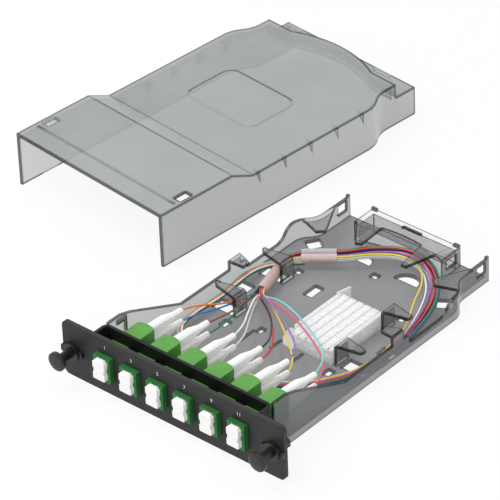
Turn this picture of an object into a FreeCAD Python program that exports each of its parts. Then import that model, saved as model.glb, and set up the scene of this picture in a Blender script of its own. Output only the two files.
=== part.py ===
import FreeCAD, Part
import math
import os

# Fibre cassette: a sheet panel with six duplex adapters closes the front of an open splice tray.
# All sizes are in millimetres. While it is modelled, X runs along the panel from its middle,
# Y runs back from the panel's front face, and Z runs up from the underside of the tray.
# place() then moves everything so that the origin is the middle of the panel's rear face.

# Front panel, on the common rack adapter-plate footprint
panel_width = 129.8
panel_height = 29.0
panel_thickness = 2.0
panel_corner = 3.0
panel_recess = 0.3
fastener_edge = 6.16
fastener_spacing = panel_width - 2 * fastener_edge

# Adapters in the panel
adapter_count = 6
adapter_pitch = 15.7
adapter_width = 9.7
adapter_height = 13.0
adapter_proud = 2.6
adapter_rear = 27.4
adapter_crown = 1.5
adapter_flange_width = 11.6
adapter_flange_height = 15.0
adapter_flange_thickness = 1.4
adapter_fit = 0.05
port_pitch = 6.25
port_size = 4.7
port_depth = 11.5
port_bore_size = 2.6
port_bore_overlap = 2.0
latch_slot_width = 2.4
latch_slot_height = 0.9
latch_slot_depth = 5.0

# Dust caps on the front ports
cap_width = 6.9
cap_height = 11.4
cap_proud = 2.2
cap_corner = 1.3
cap_notch_depth = 0.55
cap_notch_height = 1.7
cap_plug_clearance = 0.2
cap_plug_size = port_size - 2 * cap_plug_clearance
cap_plug_length = 7.0

# Connectors in the rear ports, each ending in a boot
plug_clearance = 0.1
plug_size = port_size - 2 * plug_clearance
plug_inside = 9.0
boot_height = 5.3
boot_shoulder = 9.5
boot_neck_start = 15.0
boot_length = 20.6
boot_neck_width = 3.2
boot_tip_width = 2.8
boot_chamfer = 0.9
boot_round = 0.29
boot_lean = 1.3

# Bulkhead frame behind the panel, as wide as the row of adapters with some room beside it
frame_side_room = 3.85
frame_half_width = (adapter_count - 1) / 2 * adapter_pitch + adapter_flange_width / 2 + frame_side_room
frame_depth = 10.0
frame_below_top = 1.8
frame_top = panel_height - frame_below_top
frame_wall = 1.6
frame_corner = 3.0

# Tray, flush with the frame at both sides
tray_half_width = frame_half_width
tail_half_width = 42.0
tray_bend_start = 138.6
tray_bend_end = 153.7
tray_rear = 172.3
tray_floor = 2.0
tray_wall = 1.5
wall_below_top = 1.5
wall_high = panel_height - wall_below_top
wall_high_end = 20.5
wall_slope_start = 27.0
wall_slope_top = 25.6
wall_mid = 10.8
wall_mid_start = 60.5
wall_mid_end = 104.0
wall_low = 6.2
wall_low_start = 107.0
wall_low_end = 127.0
wall_rear = 12.6
wall_rear_start = 140.0

# Fibre clips: a post on the tray's floor, and an arm that narrows towards its lifted tip
clip_width = 8.2
clip_thickness = 1.5
clip_top = 13.4
clip_reach = 13.3
clip_tip_width = 3.6
clip_tip_rise = 0.8
clip_tip_length = 1.6
clip_tip_gap = 3.35
clip_corner = 1.2
clip_front_y = 80.2
clip_rear_y = 113.4
clip_post_x = tray_half_width - tray_wall - clip_tip_gap - clip_reach - clip_thickness / 2

# Hooks: the side wall is raised for a short way and folds in over the fibres
hook_y = 97.7
hook_width = 7.6
hook_top = 16.2
hook_reach = 8.2
hook_drop = 1.2
hook_taper = 1.6
hook_root = 2.0
hook_bevel = 0.8

# Nubs inside the front of the side walls, and at the rear corners
wall_nub_depth = 0.8
wall_nub_start = 17.0
wall_nub_turn = 22.0
wall_nub_low = 24.0
wall_nub_top = 26.0
wall_nub_rib = 1.2
rear_nub_length = 1.6
rear_nub_height = 1.2

# Windows in the side walls of the tail
tail_window_start = 163.5
tail_window_end = 170.0
tail_window_low = 6.0
tail_window_high = 11.4

# Flat tabs level with the top of the rear walls
tab_thickness = 1.4
corner_tab = [(4.8, 144.6), (-7.0, 140.4), (-10.4, 143.6), (-8.7, 147.4), (-0.8, 162.5)]
left_tab = [(-25.0, 158.2), (-14.8, 144.3), (-11.8, 145.8), (-12.6, 162.0)]
right_tab = [(20.4, 160.2), (15.8, 143.8), (13.0, 143.9), (10.6, 162.4)]

# Holes in the floor: beneath the clips and hooks, for tools, and for ties
clip_hole_gap = 1.25
clip_hole_over = 0.55
clip_hole_length = 7.4
clip_hole_shift = 0.4
hook_hole_over = 2.2
hook_hole_gap = 1.0
hook_hole_length = 6.0
post_hole_width = 3.7
post_hole_shift = 0.5
post_hole_front = (12.2, 7.3)
post_hole_rear = (7.0, 10.5)
single_holes = [
    (-17.3, -12.3, 109.8, 118.8),
    (-2.2, 1.8, 139.2, 142.7),
    (-15.6, -12.6, 74.2, 78.2),
]
half_round_radius = 6.6
half_round_x = 14.0
half_round_y = 145.6
turned_hole_length = 7.2
turned_hole_width = 6.8
turned_hole_x = 39.0
turned_hole_y = 143.6
turned_hole_turn = 34.0

# Thin ribs on the floor, in front of the splice holder
floor_ribs = [(-16.2, 64.0, 74.0), (-1.6, 68.0, 75.7), (12.8, 66.4, 73.7)]
floor_rib_width = 1.0
floor_rib_height = 0.5

# Box at the rear of the tray, open beneath, whose curved front guides the fibres
box_half_width = 26.0
box_side_y = 157.5
box_middle_y = 162.5
box_wall = 1.6
box_rear = 171.6
box_slot_half_length = 5.5
box_slot_start = 167.4
box_slot_end = 168.9
box_window_start = 161.5
box_window_end = 169.0
box_window_low = 5.0
box_window_high = 10.0
box_nub_width = 3.2
box_nub_length = 1.4

# Splice holder: a block with slotted channels and one corner cut off, beside the right clips
holder_width = 26.0
holder_length = 37.6
holder_height = 8.0
holder_gap = 0.75
holder_x = clip_post_x - clip_thickness / 2 - holder_gap - holder_width
holder_y = 74.8
holder_channels = 6
holder_channel_radius = 1.3
holder_channel_below = 2.2
holder_slit_width = 0.8
holder_cut_x = 4.6
holder_cut_y = 5.7
holder_fin_start = 35.6
holder_fin_end = 45.0
holder_fin_wall = 0.8
holder_fin_front_rise = 1.1
holder_fin_rear_drop = 0.7
holder_ear_height = 1.2
holder_ear = [
    (0.5, 9.6),
    (-5.7, 10.4),
    (-6.7, 8.7),
    (-4.4, 2.5),
    (-1.1, -1.4),
    (4.3, -2.0),
    (6.0, 1.0),
]

# Push fasteners: a grommet through each end of the panel, and a plunger through the grommet
grommet_flange_radius = 4.6
grommet_flange_thickness = 2.4
grommet_finger_length = 6.0
grommet_slit = 0.8
grommet_wing_reach = 6.4
grommet_wing_height = 3.2
grommet_fit = 0.05
grommet_wall = 0.65
grommet_neck_extra = 0.25
plunger_radius = 2.3
plunger_fit = 0.05
plunger_tip = 5.0
plunger_taper_length = 1.2
plunger_taper_depth = 0.9
plunger_pulled = 7.4
plunger_head_radius = 4.7
plunger_head_thickness = 2.2
plunger_dome = 0.6
grommet_finger_radius = plunger_radius + plunger_fit + grommet_wall
grommet_neck_radius = grommet_finger_radius + grommet_neck_extra

# Cover, in its own frame: Y from its front edge, Z from its lower edge. It fits over the tray.
cover_wall = 1.5
cover_clearance = 0.25
cover_tail_clearance = 0.7
cover_rear_room = 3.9
cover_bend_early = 1.1
cover_bend_late = 3.0
cover_half_width = tray_half_width + cover_clearance + cover_wall
cover_tail_half_width = tail_half_width + cover_tail_clearance + cover_wall
cover_bend_start = tray_bend_start - panel_thickness - cover_bend_early
cover_bend_end = tray_bend_end - panel_thickness + cover_bend_late
cover_length = tray_rear - panel_thickness + cover_rear_room
cover_raised = wall_high + cover_wall
cover_raised_end = 46.0
cover_top = 23.0
cover_top_start = 59.0
cover_ledge_room = 0.2
cover_ledge = wall_rear + rear_nub_height + cover_wall + cover_ledge_room
cover_ledge_side_y = 161.0
cover_ledge_middle_y = 167.5
cover_ledge_straight_x = 28.0
cover_line_y = 11.0
cover_line_width = 0.6
cover_line_depth = 0.4
cover_line_end = 2.65
cover_window_width = 4.6
cover_window_side = 2.05
cover_window_start = 14.5
cover_window_end = 21.8
cover_slot_starts = (18.0, -43.0)
cover_slot_length = 10.0
cover_slot_width = 1.4
cover_slot_behind = 1.2
cover_rib_count = 5
cover_rib_first_y = 65.0
cover_rib_pitch = 17.3
cover_rib_leg = 6.5
cover_rib_reach = 4.55
cover_rib_edge = 0.6
cover_rib_thickness = 1.0
cover_pad_width = 46.0
cover_pad_length = 32.0
cover_pad_x = -2.0
cover_pad_y = 100.7
cover_pad_corner = 6.0
cover_pad_height = 0.5
cover_turn = -5.63
cover_place_x = -134.34
cover_place_y = 92.83

# Fibres and the sleeves that hold them together
fibre_diameter = 0.9
fibre_sides = 4
sleeve_sides = 8
lane_pitch = 1.0
lane_columns = 4
lane_rows = 3
sleeve_wall = 0.3
sleeve_gap = 0.2

# The way of the whole bundle: x, y, z, how far its lanes spread, and the gap down its middle
bundle_way = [
    (-25.6, 79.5, 7.6, 1.0, 0.0),
    (-29.0, 92.0, 6.4, 1.0, 0.0),
    (-36.3, 119.6, 6.4, 1.0, 0.0),
    (-33.2, 126.3, 7.2, 1.0, 2.2),
    (-20.6, 136.2, 7.4, 1.0, 2.2),
    (-4.5, 147.3, 7.0, 1.5, 0.9),
    (15.0, 150.0, 6.5, 1.9, 0.5),
    (31.0, 138.5, 6.0, 1.8, 0.3),
    (40.3, 116.0, 5.6, 1.25, 0.0),
    (43.2, 92.0, 5.5, 1.1, 0.0),
    (40.2, 67.5, 5.2, 1.25, 0.0),
    (27.0, 47.5, 4.6, 1.1, 0.0),
    (3.0, 41.4, 4.2, 1.0, 0.0),
    (-14.0, 41.6, 4.2, 1.0, 0.0),
]

# Six fibres go on up the left wall and end beneath the rear sleeves
return_way = [
    (-30.0, 43.2, 4.6, 1.0, 0.0),
    (-42.2, 50.5, 5.4, 1.0, 0.0),
    (-43.8, 64.0, 6.0, 1.0, 0.0),
    (-40.0, 79.0, 6.0, 1.0, 0.0),
    (-41.2, 94.0, 6.0, 1.0, 0.0),
    (-43.6, 108.0, 4.8, 1.0, 0.0),
    (-40.6, 120.0, 3.5, 1.0, 0.0),
    (-31.5, 128.0, 3.4, 1.0, 0.0),
]

# Each fibre: column and row in the bundle, the points between its boot and the bundle,
# and its column and row in the return, if it has one
fibres = {
    "fibre_1_upper": (0, 0, [(-38.0, 58.0, 15.6), (-31.2, 67.5, 11.8)], (0, 0)),
    "fibre_1_lower": (0, 1, [(-38.2, 57.5, 10.6), (-31.6, 66.8, 9.4)], (0, 1)),
    "fibre_2_upper": (0, 2, [(-22.4, 58.5, 15.4), (-24.2, 69.5, 10.2)], None),
    "fibre_2_lower": (1, 2, [(-22.4, 58.0, 10.4), (-24.0, 68.5, 7.8)], (1, 1)),
    "fibre_3_upper": (1, 0, [(-8.4, 59.5, 16.0), (-15.6, 70.0, 12.2)], (1, 0)),
    "fibre_3_lower": (1, 1, [(-7.4, 58.5, 10.8), (-14.2, 69.5, 9.6)], None),
    "fibre_4_upper": (2, 0, [(6.4, 59.5, 15.6), (-5.0, 71.5, 11.6)], None),
    "fibre_4_lower": (2, 1, [(7.2, 58.5, 10.6), (-4.4, 70.5, 8.8)], None),
    "fibre_5_upper": (3, 2, [(22.8, 58.0, 15.2), (12.0, 68.0, 12.6), (-3.0, 76.0, 9.0)], None),
    "fibre_5_lower": (2, 2, [(22.0, 57.0, 10.0), (10.0, 64.0, 8.2), (-6.0, 73.0, 6.4)], (2, 1)),
    "fibre_6_upper": (3, 0, [(36.0, 60.5, 17.0), (25.0, 74.0, 15.2), (3.0, 82.5, 12.8)], (2, 0)),
    "fibre_6_lower": (3, 1, [(36.6, 57.5, 12.2), (27.0, 70.5, 13.4), (7.0, 79.5, 12.0)], None),
}

# Sleeves: column and row of the lane that they follow, lanes held, and where they begin and
# end along that lane, measured back from the way's first point
sleeves = {
    "bundle_sleeve": (1.5, 1, 4, 16.5, 37.5),
    "rear_sleeve_outer": (0.5, 1, 2, 51.0, 67.5),
    "rear_sleeve_inner": (2.5, 1, 2, 48.0, 64.5),
}

# Each piece that is fused to another reaches this far into it, and each cut this far past it
root = 0.5
past = 1.0

half_panel_height = panel_height / 2
frame_front = panel_thickness - panel_recess
port_offsets = {"upper": port_pitch / 2, "lower": -port_pitch / 2}


def point(x, y, z=0.0):
    return FreeCAD.Vector(x, y, z)


def block(x0, x1, y0, y1, z0, z1):
    """Box between two corners given axis by axis."""
    return Part.makeBox(x1 - x0, y1 - y0, z1 - z0, point(x0, y0, z0))


def bend_edges(start, end, to_space):
    """Two equal tangent arcs that join two runs along u, one beside the other."""
    half_u = (end[0] - start[0]) / 2
    half_v = (end[1] - start[1]) / 2
    turn = 2 * math.atan2(abs(half_v), abs(half_u))
    radius = abs(half_u) / math.sin(turn)
    step_u = math.copysign(radius * math.sin(turn / 2), half_u)
    step_v = math.copysign(radius * (1 - math.cos(turn / 2)), half_v)
    middle = (start[0] + half_u, start[1] + half_v)
    first = Part.Arc(
        to_space(*start),
        to_space(start[0] + step_u, start[1] + step_v),
        to_space(*middle),
    )
    second = Part.Arc(
        to_space(*middle),
        to_space(end[0] - step_u, end[1] - step_v),
        to_space(*end),
    )
    return [first.toShape(), second.toShape()]


def outline(steps, to_space):
    """Closed face. A step is (u, v), ("bend", u, v) or ("arc", u_through, v_through, u, v)."""
    edges = []
    here = steps[0]
    for step in steps[1:] + steps[:1]:
        there = tuple(step[-2:])
        if step[0] == "bend":
            edges += bend_edges(here, there, to_space)
        elif step[0] == "arc":
            arc = Part.Arc(to_space(*here), to_space(step[1], step[2]), to_space(*there))
            edges.append(arc.toShape())
        else:
            edges.append(Part.makeLine(to_space(*here), to_space(*there)))
        here = there
    return Part.Face(Part.Wire(edges))


def plan(u, v):
    """Outlines seen from above run along Y first, so that their bends lie along Y."""
    return point(v, u)


def side(u, v):
    return point(0, u, v)


def plan_prism(steps, z0, z1):
    face = outline(steps, plan)
    face.translate(point(0, 0, z0))
    return face.extrude(point(0, 0, z1 - z0))


def side_prism(steps, half_width):
    face = outline(steps, side)
    face.translate(point(-half_width, 0, 0))
    return face.extrude(point(2 * half_width, 0, 0))


def polygon_prism(corners, z0, z1):
    """Upright prism on a polygon of x, y corners."""
    return plan_prism([(y, x) for x, y in corners], z0, z1)


def section_prism(corners, y0, y1):
    """Prism along Y on a polygon of x, z corners."""
    ring = [point(x, y0, z) for x, z in corners]
    face = Part.Face(Part.makePolygon(ring + ring[:1]))
    return face.extrude(point(0, y1 - y0, 0))


def rounded_plate(half_x, half_z, corner, y0, y1, centre_z):
    """Plate across Y with rounded corners."""
    plate = block(-half_x, half_x, y0, y1, centre_z - half_z, centre_z + half_z)
    edges = [e for e in plate.Edges if is_along(e, "y")]
    return plate.makeFillet(corner, edges)


def is_along(edge, axis):
    ends = edge.Vertexes
    gap = ends[0].Point - ends[-1].Point
    parts = {"x": gap.x, "y": gap.y, "z": gap.z}
    length = abs(parts.pop(axis))
    return length > 0.01 and all(abs(other) < 1e-6 for other in parts.values())


def both_sides(shape):
    """The shape and its mirror image across the middle plane."""
    return [shape, shape.mirror(point(0, 0), point(1, 0))]


def rod(radius, x, z, y0, y1):
    """Cylinder along Y."""
    return Part.makeCylinder(radius, y1 - y0, point(x, y0, z), point(0, 1, 0))


def adapter_x(index):
    return (index - (adapter_count - 1) / 2) * adapter_pitch


def front_panel():
    panel = rounded_plate(
        panel_width / 2, half_panel_height, panel_corner, 0, panel_thickness, half_panel_height
    )
    half_x = adapter_width / 2 + adapter_fit
    half_z = adapter_height / 2 + adapter_fit
    cuts = []
    for index in range(adapter_count):
        x = adapter_x(index)
        cuts.append(
            block(
                x - half_x,
                x + half_x,
                -1,
                panel_thickness + 1,
                half_panel_height - half_z,
                half_panel_height + half_z,
            )
        )
    for way in (-1, 1):
        cuts.append(
            rod(
                grommet_neck_radius + grommet_fit,
                way * fastener_spacing / 2,
                half_panel_height,
                -1,
                panel_thickness + 1,
            )
        )
    recess = block(
        -frame_half_width, frame_half_width, frame_front, panel_thickness + 1, -1, frame_top
    )
    return panel.cut(cuts + [recess])


def bulkhead_frame():
    front = frame_front
    rear = panel_thickness + frame_depth
    inside = frame_half_width - frame_wall
    shell = block(-frame_half_width, frame_half_width, front, rear, tray_floor, frame_top)
    corners = [e for e in shell.Edges if is_along(e, "z") and e.CenterOfMass.y > rear - 0.01]
    shell = shell.makeFillet(frame_corner, corners)
    hollow = block(
        -inside, inside, front - 1, rear - frame_wall, tray_floor + frame_wall, frame_top + 1
    )
    corners = [
        e for e in hollow.Edges if is_along(e, "z") and e.CenterOfMass.y > front
    ]
    hollow = hollow.makeFillet(frame_corner - frame_wall, corners)
    half_x = adapter_width / 2 + adapter_fit
    half_z = adapter_height / 2 + adapter_fit
    cuts = [hollow]
    for index in range(adapter_count):
        x = adapter_x(index)
        z = half_panel_height
        cuts.append(block(x - half_x, x + half_x, front + 1, rear + 1, z - half_z, z + half_z))
    return shell.cut(cuts)


def adapter(index):
    """Duplex adapter with a rounded rear edge, a flange behind the panel and four open ports."""
    x = adapter_x(index)
    z = half_panel_height
    half_x = adapter_width / 2
    half_z = adapter_height / 2
    body = plan_prism(
        [
            (-adapter_proud, x - half_x),
            (adapter_rear, x - half_x),
            ("arc", adapter_rear + adapter_crown, x, adapter_rear, x + half_x),
            (-adapter_proud, x + half_x),
        ],
        z - half_z,
        z + half_z,
    )
    flange = block(
        x - adapter_flange_width / 2,
        x + adapter_flange_width / 2,
        frame_front,
        frame_front + adapter_flange_thickness,
        z - adapter_flange_height / 2,
        z + adapter_flange_height / 2,
    )
    cuts = []
    half_port = port_size / 2
    rear_end = adapter_rear + adapter_crown
    for offset in port_offsets.values():
        port_z = z + offset
        for y0, y1 in (
            (-adapter_proud - 1, -adapter_proud + port_depth),
            (rear_end - port_depth, rear_end + 1),
        ):
            cuts.append(
                block(
                    x - half_port,
                    x + half_port,
                    y0,
                    y1,
                    port_z - half_port,
                    port_z + half_port,
                )
            )
        cuts.append(
            block(
                x - latch_slot_width / 2,
                x + latch_slot_width / 2,
                -adapter_proud - 1,
                -adapter_proud + latch_slot_depth,
                port_z,
                port_z + half_port + latch_slot_height,
            )
        )
        half_bore = port_bore_size / 2
        cuts.append(
            block(
                x - half_bore,
                x + half_bore,
                0,
                adapter_rear - port_depth + port_bore_overlap,
                port_z - half_bore,
                port_z + half_bore,
            )
        )
    return body.fuse(flange).cut(cuts)


def dust_cap(index):
    """Duplex cap: one waisted grip with two plugs that go into the front ports."""
    x = adapter_x(index)
    z = half_panel_height
    half_x = cap_width / 2
    half_z = cap_height / 2
    notch = cap_notch_height / 2
    right = [
        (half_x - cap_corner, -half_z),
        (half_x, -half_z + cap_corner),
        (half_x, -notch - cap_notch_depth),
        (half_x - cap_notch_depth, -notch),
        (half_x - cap_notch_depth, notch),
        (half_x, notch + cap_notch_depth),
        (half_x, half_z - cap_corner),
        (half_x - cap_corner, half_z),
    ]
    ring = right + [(-u, v) for u, v in reversed(right)]
    front = -adapter_proud - cap_proud
    grip = section_prism([(x + u, z + v) for u, v in ring], front, -adapter_proud)
    rims = [
        e
        for e in grip.Edges
        if abs(e.CenterOfMass.y - front) < 0.01 and abs(e.CenterOfMass.z - z) > half_z - 0.01
    ]
    grip = grip.makeChamfer(cap_corner * 0.7, rims)
    half_plug = cap_plug_size / 2
    plugs = []
    for offset in port_offsets.values():
        plugs.append(
            block(
                x - half_plug,
                x + half_plug,
                -adapter_proud,
                -adapter_proud + cap_plug_length,
                z + offset - half_plug,
                z + offset + half_plug,
            )
        )
    return grip.fuse(plugs)


def eight_sided(x, y, z, width, height, chamfer):
    """Closed eight-sided wire across Y."""
    half_x = width / 2
    half_z = height / 2
    quarter = [(half_x, half_z - chamfer), (half_x - chamfer, half_z)]
    ring = quarter + [(-u, v) for u, v in reversed(quarter)]
    ring += [(-u, -v) for u, v in quarter]
    ring += [(u, -v) for u, v in reversed(quarter)]
    corners = [point(x + u, y, z + v) for u, v in ring]
    return Part.makePolygon(corners + corners[:1])


def boot_tip(index, row):
    """Middle of the boot's end face, where the fibre leaves it."""
    start = adapter_rear + adapter_crown
    return point(
        adapter_x(index) + boot_lean, start + boot_length, half_panel_height + port_offsets[row]
    )


def connector(index, row):
    """Plug in a rear port, with a boot that narrows to the fibre."""
    x = adapter_x(index)
    z = half_panel_height + port_offsets[row]
    start = adapter_rear + adapter_crown
    round_neck = boot_neck_width * boot_round
    round_tip = boot_tip_width * boot_round
    plug = block(
        x - plug_size / 2,
        x + plug_size / 2,
        start - plug_inside,
        start,
        z - plug_size / 2,
        z + plug_size / 2,
    )
    lean = boot_lean / boot_length
    sections = [
        eight_sided(x, start, z, plug_size, boot_height, boot_chamfer),
        eight_sided(
            x + lean * boot_shoulder, start + boot_shoulder, z, plug_size, boot_height, boot_chamfer
        ),
        eight_sided(
            x + lean * boot_neck_start,
            start + boot_neck_start,
            z,
            boot_neck_width,
            boot_neck_width,
            round_neck,
        ),
        eight_sided(
            x + boot_lean, start + boot_length, z, boot_tip_width, boot_tip_width, round_tip
        ),
    ]
    boot = Part.makeLoft(sections, True, True)
    return boot.fuse(plug)


def tray_outline(inset, overrun):
    """Plan of the tray, with its width taken in by inset and its ends moved out by overrun."""
    wide = tray_half_width - inset
    tail = tail_half_width - inset
    front = panel_thickness + frame_depth - overrun
    rear = tray_rear + overrun
    return [
        (front, wide),
        (tray_bend_start, wide),
        ("bend", tray_bend_end, tail),
        (rear, tail),
        (rear, -tail),
        (tray_bend_end, -tail),
        ("bend", tray_bend_start, -wide),
        (front, -wide),
    ]


def tray_walls():
    walls = plan_prism(tray_outline(0, 0), 0, wall_high)
    walls = walls.cut(plan_prism(tray_outline(tray_wall, 1), -1, wall_high + 1))
    heights = side_prism(
        [
            (frame_front, 0),
            (tray_rear, 0),
            (tray_rear, wall_rear),
            (wall_rear_start, wall_rear),
            ("bend", wall_low_end, wall_low),
            (wall_low_start, wall_low),
            ("bend", wall_mid_end, wall_mid),
            (wall_mid_start, wall_mid),
            (wall_slope_start, wall_slope_top),
            (wall_high_end, wall_high),
            (frame_front, wall_high),
        ],
        tray_half_width + 1,
    )
    return walls.common(heights)


def rear_box_outline(inset, drop):
    half = box_half_width - inset
    return [
        (box_side_y + inset, -half),
        ("arc", box_middle_y + inset, 0, box_side_y + inset, half),
        (box_rear - drop, half),
        (box_rear - drop, -half),
    ]


def rear_box():
    """Shallow box with a curved front, open beneath, with a slot on top and a side window."""
    shell = plan_prism(rear_box_outline(0, 0), 0, wall_rear)
    hollow = plan_prism(rear_box_outline(box_wall, box_wall), -past, wall_rear - box_wall)
    slot = block(
        -box_slot_half_length,
        box_slot_half_length,
        box_slot_start,
        box_slot_end,
        wall_rear - box_wall - past,
        wall_rear + past,
    )
    window = block(
        box_half_width - box_wall - past,
        box_half_width + past,
        box_window_start,
        box_window_end,
        box_window_low,
        box_window_high,
    )
    nubs = both_sides(
        block(
            box_half_width - box_nub_width,
            box_half_width,
            box_rear - box_nub_length,
            box_rear,
            wall_rear - root,
            wall_rear + rear_nub_height,
        )
    )
    return shell.fuse(nubs).cut([hollow, slot, window])


def clip(middle_y):
    """Upright post on the floor with a level arm that narrows to a lifted tip near the wall."""
    inner = clip_post_x - clip_thickness / 2
    outer = clip_post_x + clip_thickness / 2
    tip = outer + clip_reach
    bend = tip - clip_tip_length
    low = clip_top - clip_thickness
    arm = section_prism(
        [
            (inner, tray_floor - root),
            (outer, tray_floor - root),
            (outer, low),
            (bend, low),
            (tip, low + clip_tip_rise),
            (tip, clip_top + clip_tip_rise),
            (bend, clip_top),
            (inner + clip_corner, clip_top),
            (inner, clip_top - clip_corner),
        ],
        middle_y - clip_width / 2,
        middle_y + clip_width / 2,
    )
    half_tip = clip_tip_width / 2
    shape = plan_prism(
        [
            (middle_y - clip_width / 2, inner - past),
            (middle_y - clip_width / 2, outer),
            (middle_y - half_tip, tip - half_tip),
            ("arc", middle_y, tip, middle_y + half_tip, tip - half_tip),
            (middle_y + clip_width / 2, outer),
            (middle_y + clip_width / 2, inner - past),
        ],
        0,
        clip_top + clip_tip_rise + past,
    )
    return arm.common(shape)


def hook():
    """Part of the wall that is raised and folds in over the fibres, narrower at its tip."""
    outer = tray_half_width
    inner = outer - tray_wall
    tip = outer - hook_reach
    start = hook_y - hook_width / 2
    end = hook_y + hook_width / 2
    fold = section_prism(
        [
            (inner, wall_mid - hook_root),
            (outer, wall_mid - hook_root),
            (outer, hook_top - hook_bevel),
            (outer - hook_bevel, hook_top),
            (tip, hook_top - hook_drop),
            (tip, hook_top - hook_drop - tray_wall),
            (inner, hook_top - tray_wall),
        ],
        start,
        end,
    )
    shape = plan_prism(
        [
            (start, outer + past),
            (start, inner),
            (start + hook_taper, tip),
            (end - hook_taper, tip),
            (end, inner),
            (end, outer + past),
        ],
        0,
        hook_top + past,
    )
    return fold.common(shape)


def guide_tabs():
    """Flat tabs level with the rear wall top: one in each corner and two on the box's front."""
    top = wall_rear
    low = top - tab_thickness
    corner = polygon_prism([(tail_half_width + x, y) for x, y in corner_tab], low, top)
    corner = corner.common(plan_prism(tray_outline(root, 0), low, top))
    left = polygon_prism(left_tab, low, top)
    right = polygon_prism(right_tab, low, top)
    return both_sides(corner) + [left, right]


def floor_cuts():
    """Holes in the floor under the moulded clips and hooks, and the fastening slots."""
    z0 = -past
    z1 = tray_floor + past
    arm_start = clip_post_x + clip_thickness / 2 + clip_hole_gap
    arm_end = clip_post_x + clip_thickness / 2 + clip_reach + clip_hole_over
    front_y = clip_front_y + clip_hole_shift - clip_hole_length / 2
    rear_y = clip_rear_y + clip_hole_shift - clip_hole_length / 2
    hook_start = tray_half_width - hook_reach - hook_hole_over
    hook_end = tray_half_width - tray_wall - hook_hole_gap
    post_start = clip_post_x + post_hole_shift - post_hole_width / 2
    post_end = post_start + post_hole_width
    paired = [
        (post_start, post_end, clip_rear_y + post_hole_rear[0], clip_rear_y + post_hole_rear[1]),
        (post_start, post_end, clip_front_y - post_hole_front[0], clip_front_y - post_hole_front[1]),
        (arm_start, arm_end, front_y, front_y + clip_hole_length),
        (hook_start, hook_end, hook_y - hook_hole_length / 2, hook_y + hook_hole_length / 2),
    ]
    cuts = []
    for x0, x1, y0, y1 in paired:
        cuts += both_sides(block(x0, x1, y0, y1, z0, z1))
    for x0, x1, y0, y1 in single_holes:
        cuts.append(block(x0, x1, y0, y1, z0, z1))
    cuts.append(block(-arm_end, -arm_start, rear_y, rear_y + clip_hole_length, z0, z1))
    centre = point(half_round_x, half_round_y, z0)
    half_round = Part.makeCylinder(half_round_radius, z1 - z0, centre, point(0, 0, 1))
    reach = 2 * half_round_radius
    behind = block(0, half_round_x + reach, half_round_y, half_round_y + reach, z0, z1)
    cuts += both_sides(half_round.common(behind))
    half_x = turned_hole_length / 2
    half_y = turned_hole_width / 2
    turned = block(-half_x, half_x, -half_y, half_y, z0, z1)
    turned.rotate(point(0, 0), point(0, 0, 1), turned_hole_turn)
    turned.translate(point(turned_hole_x, turned_hole_y))
    cuts += both_sides(turned)
    return cuts


def wall_nubs():
    """Small nubs inside the front of the side walls, and one on each rear corner."""
    inner = tray_half_width - tray_wall
    start = inner - wall_nub_depth
    turn = wall_nub_turn
    nub = block(start, inner + root, wall_nub_start, turn, wall_nub_low, wall_nub_top)
    rib = block(start, inner + root, turn, turn + wall_nub_rib, tray_floor - root, wall_nub_top)
    corner = block(
        tail_half_width - tray_wall,
        tail_half_width,
        tray_rear - rear_nub_length,
        tray_rear,
        wall_rear - root,
        wall_rear + rear_nub_height,
    )
    return both_sides(nub) + both_sides(rib) + both_sides(corner)


def tray():
    floor = plan_prism(tray_outline(0, frame_depth), 0, tray_floor)
    reach = tray_half_width + past
    front = block(
        -tray_half_width, tray_half_width, frame_front, panel_thickness + past, 0, tray_floor
    )
    floor = floor.fuse(front).common(block(-reach, reach, frame_front, tray_rear, 0, tray_floor))
    under_box = plan_prism(rear_box_outline(box_wall, box_wall), -past, tray_floor + past)
    floor = floor.cut(floor_cuts() + [under_box])
    additions = [tray_walls(), rear_box()]
    for middle_y in (clip_front_y, clip_rear_y):
        additions += both_sides(clip(middle_y))
    additions += both_sides(hook())
    additions += guide_tabs()
    additions += wall_nubs()
    for x, y0, y1 in floor_ribs:
        x0 = x - floor_rib_width / 2
        x1 = x + floor_rib_width / 2
        additions.append(block(x0, x1, y0, y1, tray_floor - root, tray_floor + floor_rib_height))
    whole = floor.fuse(additions)
    window = block(
        tail_half_width - tray_wall - past,
        tail_half_width + past,
        tail_window_start,
        tail_window_end,
        tail_window_low,
        tail_window_high,
    )
    return whole.cut(both_sides(window)).removeSplitter()


def splice_holder():
    """Block with slotted channels along it, a fin at one rear corner and a flat ear in front."""
    x0 = holder_x
    y0 = holder_y
    y1 = y0 + holder_length
    bottom = tray_floor
    top = bottom + holder_height
    body = polygon_prism(
        [
            (x0 + holder_cut_x, y0),
            (x0 + holder_width, y0),
            (x0 + holder_width, y1),
            (x0, y1),
            (x0, y0 + holder_cut_y),
        ],
        bottom,
        top,
    )
    pitch = holder_width / holder_channels
    centre_z = top - holder_channel_below
    half_slit = holder_slit_width / 2
    cuts = []
    for index in range(holder_channels):
        x = x0 + (index + 0.5) * pitch
        cuts.append(rod(holder_channel_radius, x, centre_z, y0 - past, y1 + past))
        cuts.append(
            block(x - half_slit, x + half_slit, y0 - past, y1 + past, centre_z, top + past)
        )
    fin = side_prism(
        [
            (y0 + holder_fin_start, bottom),
            (y0 + holder_fin_end, bottom),
            (y0 + holder_fin_end, top - holder_fin_rear_drop),
            (y0 + holder_fin_start, top + holder_fin_front_rise),
        ],
        holder_fin_wall / 2,
    )
    fin.translate(point(x0 + holder_fin_wall / 2, 0))
    ear = polygon_prism(
        [(x0 + x, y0 + y) for x, y in holder_ear], bottom, bottom + holder_ear_height
    )
    return body.cut(cuts).fuse([fin, ear]).removeSplitter()


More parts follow.
